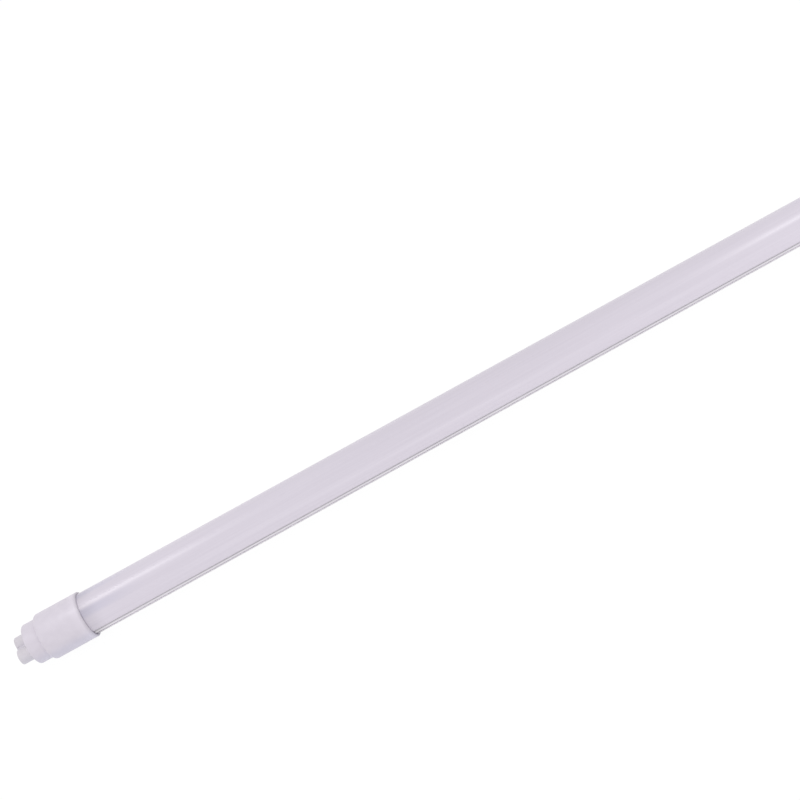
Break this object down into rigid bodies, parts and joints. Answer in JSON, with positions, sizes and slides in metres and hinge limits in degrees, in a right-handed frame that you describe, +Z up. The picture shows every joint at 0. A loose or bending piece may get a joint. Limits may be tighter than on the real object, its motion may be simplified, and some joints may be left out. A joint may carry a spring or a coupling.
{
  "type": "led tube lamp",
  "caption": "Slim straight LED tube with a ribbed aluminium back, a milky half-round cover and stepped white end caps that carry two-lobed bosses with recessed contacts.",
  "frame": {"origin": "on the surface that the tube lies on, midway between the two bosses and under the tube's axis", "axes": "+X along the tube towards the right end cap, +Z up out of the middle of the milky cover, with the heat sink underneath; the tube's axis is 14 mm above the origin"},
  "size_m": [0.59, 0.028, 0.028],
  "materials": {
    "cap_plastic": "white moulded polycarbonate with a soft satin sheen",
    "milky_cover": "opal white extruded polycarbonate, smooth",
    "heat_sink_aluminium": "extruded, fine lengthwise ribs, clear anodised",
    "screw_steel": "zinc plated",
    "contact_metal": "bright drawn brass",
    "white_board": "white solder mask on an aluminium base",
    "led_package": "yellow phosphor in a white package",
    "circuit_board": "green solder mask",
    "insulating_film": "thin pale film",
    "fuse_coating": "lacquered",
    "varistor_coating": "dipped epoxy",
    "film_capacitor_case": "moulded case",
    "ferrite": "ground ferrite",
    "copper_wire": "enamelled copper wire",
    "black_epoxy": "moulded epoxy",
    "capacitor_sleeve": "shrunk film over an aluminium can",
    "bobbin_plastic": "moulded",
    "winding_tape": "thin film tape",
    "input_lead_insulation": "extruded insulation",
    "output_lead_insulation": "extruded insulation"
  },
  "bodies": {
    "root": {"left_end_cap": "cap_plastic", "right_end_cap": "cap_plastic", "diffuser_cover": "milky_cover", "heat_sink": "heat_sink_aluminium", "cap_screws": "screw_steel", "left_contacts": "contact_metal", "right_contacts": "contact_metal", "left_bridge_strip": "contact_metal", "right_bridge_strip": "contact_metal", "led_board": "white_board", "led_chips": "led_package", "driver_board": "circuit_board", "driver_sleeve": "insulating_film", "fuse": "fuse_coating", "surge_varistor": "varistor_coating", "film_capacitor": "film_capacitor_case", "choke_core": "ferrite", "choke_winding": "copper_wire", "bridge_rectifier": "black_epoxy", "bulk_capacitors": "capacitor_sleeve", "control_chip": "black_epoxy", "chip_resistors": "black_epoxy", "transformer_core": "ferrite", "transformer_bobbin": "bobbin_plastic", "transformer_winding": "winding_tape", "output_diode": "black_epoxy", "output_capacitor": "capacitor_sleeve", "left_input_lead": "input_lead_insulation", "right_input_lead": "input_lead_insulation", "output_leads": "output_lead_insulation"}
  },
  "joints": []
}
